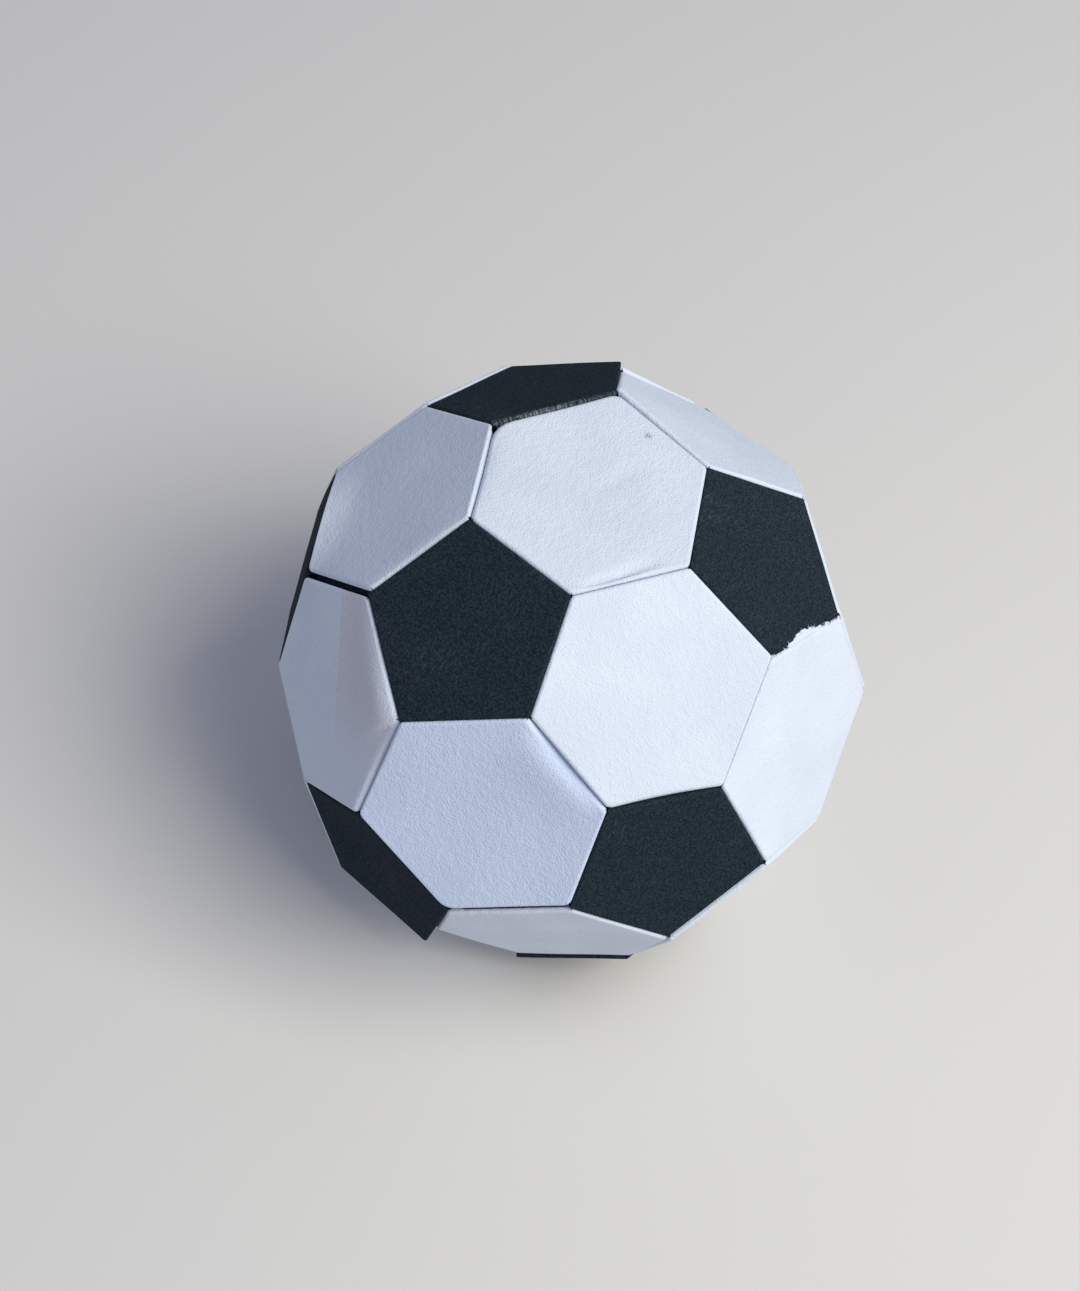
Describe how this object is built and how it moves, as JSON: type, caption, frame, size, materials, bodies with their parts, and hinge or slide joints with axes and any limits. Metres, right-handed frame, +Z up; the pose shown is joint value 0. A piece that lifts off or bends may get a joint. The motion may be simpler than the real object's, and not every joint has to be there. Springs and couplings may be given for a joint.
{
  "type": "modular origami ball",
  "caption": "Hollow paper ball of flat black pentagons and white hexagons, each a folded unit glued to its neighbours by hidden flaps; stands on one face as an ornament.",
  "frame": {"origin": "middle of the hexagon that the ball stands on, at the centre of the bottom of the box", "axes": "+Z up through the middles of the lowest and the highest hexagon; -Y is the front, where a black pentagon leans against the top hexagon"},
  "size_m": [0.0962, 0.0974, 0.0907],
  "materials": {
    "black_paper": "matte, faintly fibrous",
    "white_paper": "matte, smooth"
  },
  "bodies": {
    "root": {"black_pentagon_01": "black_paper", "black_pentagon_02": "black_paper", "black_pentagon_03": "black_paper", "black_pentagon_04": "black_paper", "black_pentagon_05": "black_paper", "black_pentagon_06": "black_paper", "black_pentagon_07": "black_paper", "black_pentagon_08": "black_paper", "black_pentagon_09": "black_paper", "black_pentagon_10": "black_paper", "black_pentagon_11": "black_paper", "black_pentagon_12": "black_paper", "white_hexagon_01": "white_paper", "white_hexagon_02": "white_paper", "white_hexagon_03": "white_paper", "white_hexagon_04": "white_paper", "white_hexagon_05": "white_paper", "white_hexagon_06": "white_paper", "white_hexagon_07": "white_paper", "white_hexagon_08": "white_paper", "white_hexagon_09": "white_paper", "white_hexagon_10": "white_paper", "white_hexagon_11": "white_paper", "white_hexagon_12": "white_paper", "white_hexagon_13": "white_paper", "white_hexagon_14": "white_paper", "white_hexagon_15": "white_paper", "white_hexagon_16": "white_paper", "white_hexagon_17": "white_paper", "white_hexagon_18": "white_paper", "white_hexagon_19": "white_paper", "white_hexagon_20": "white_paper"}
  },
  "joints": []
}
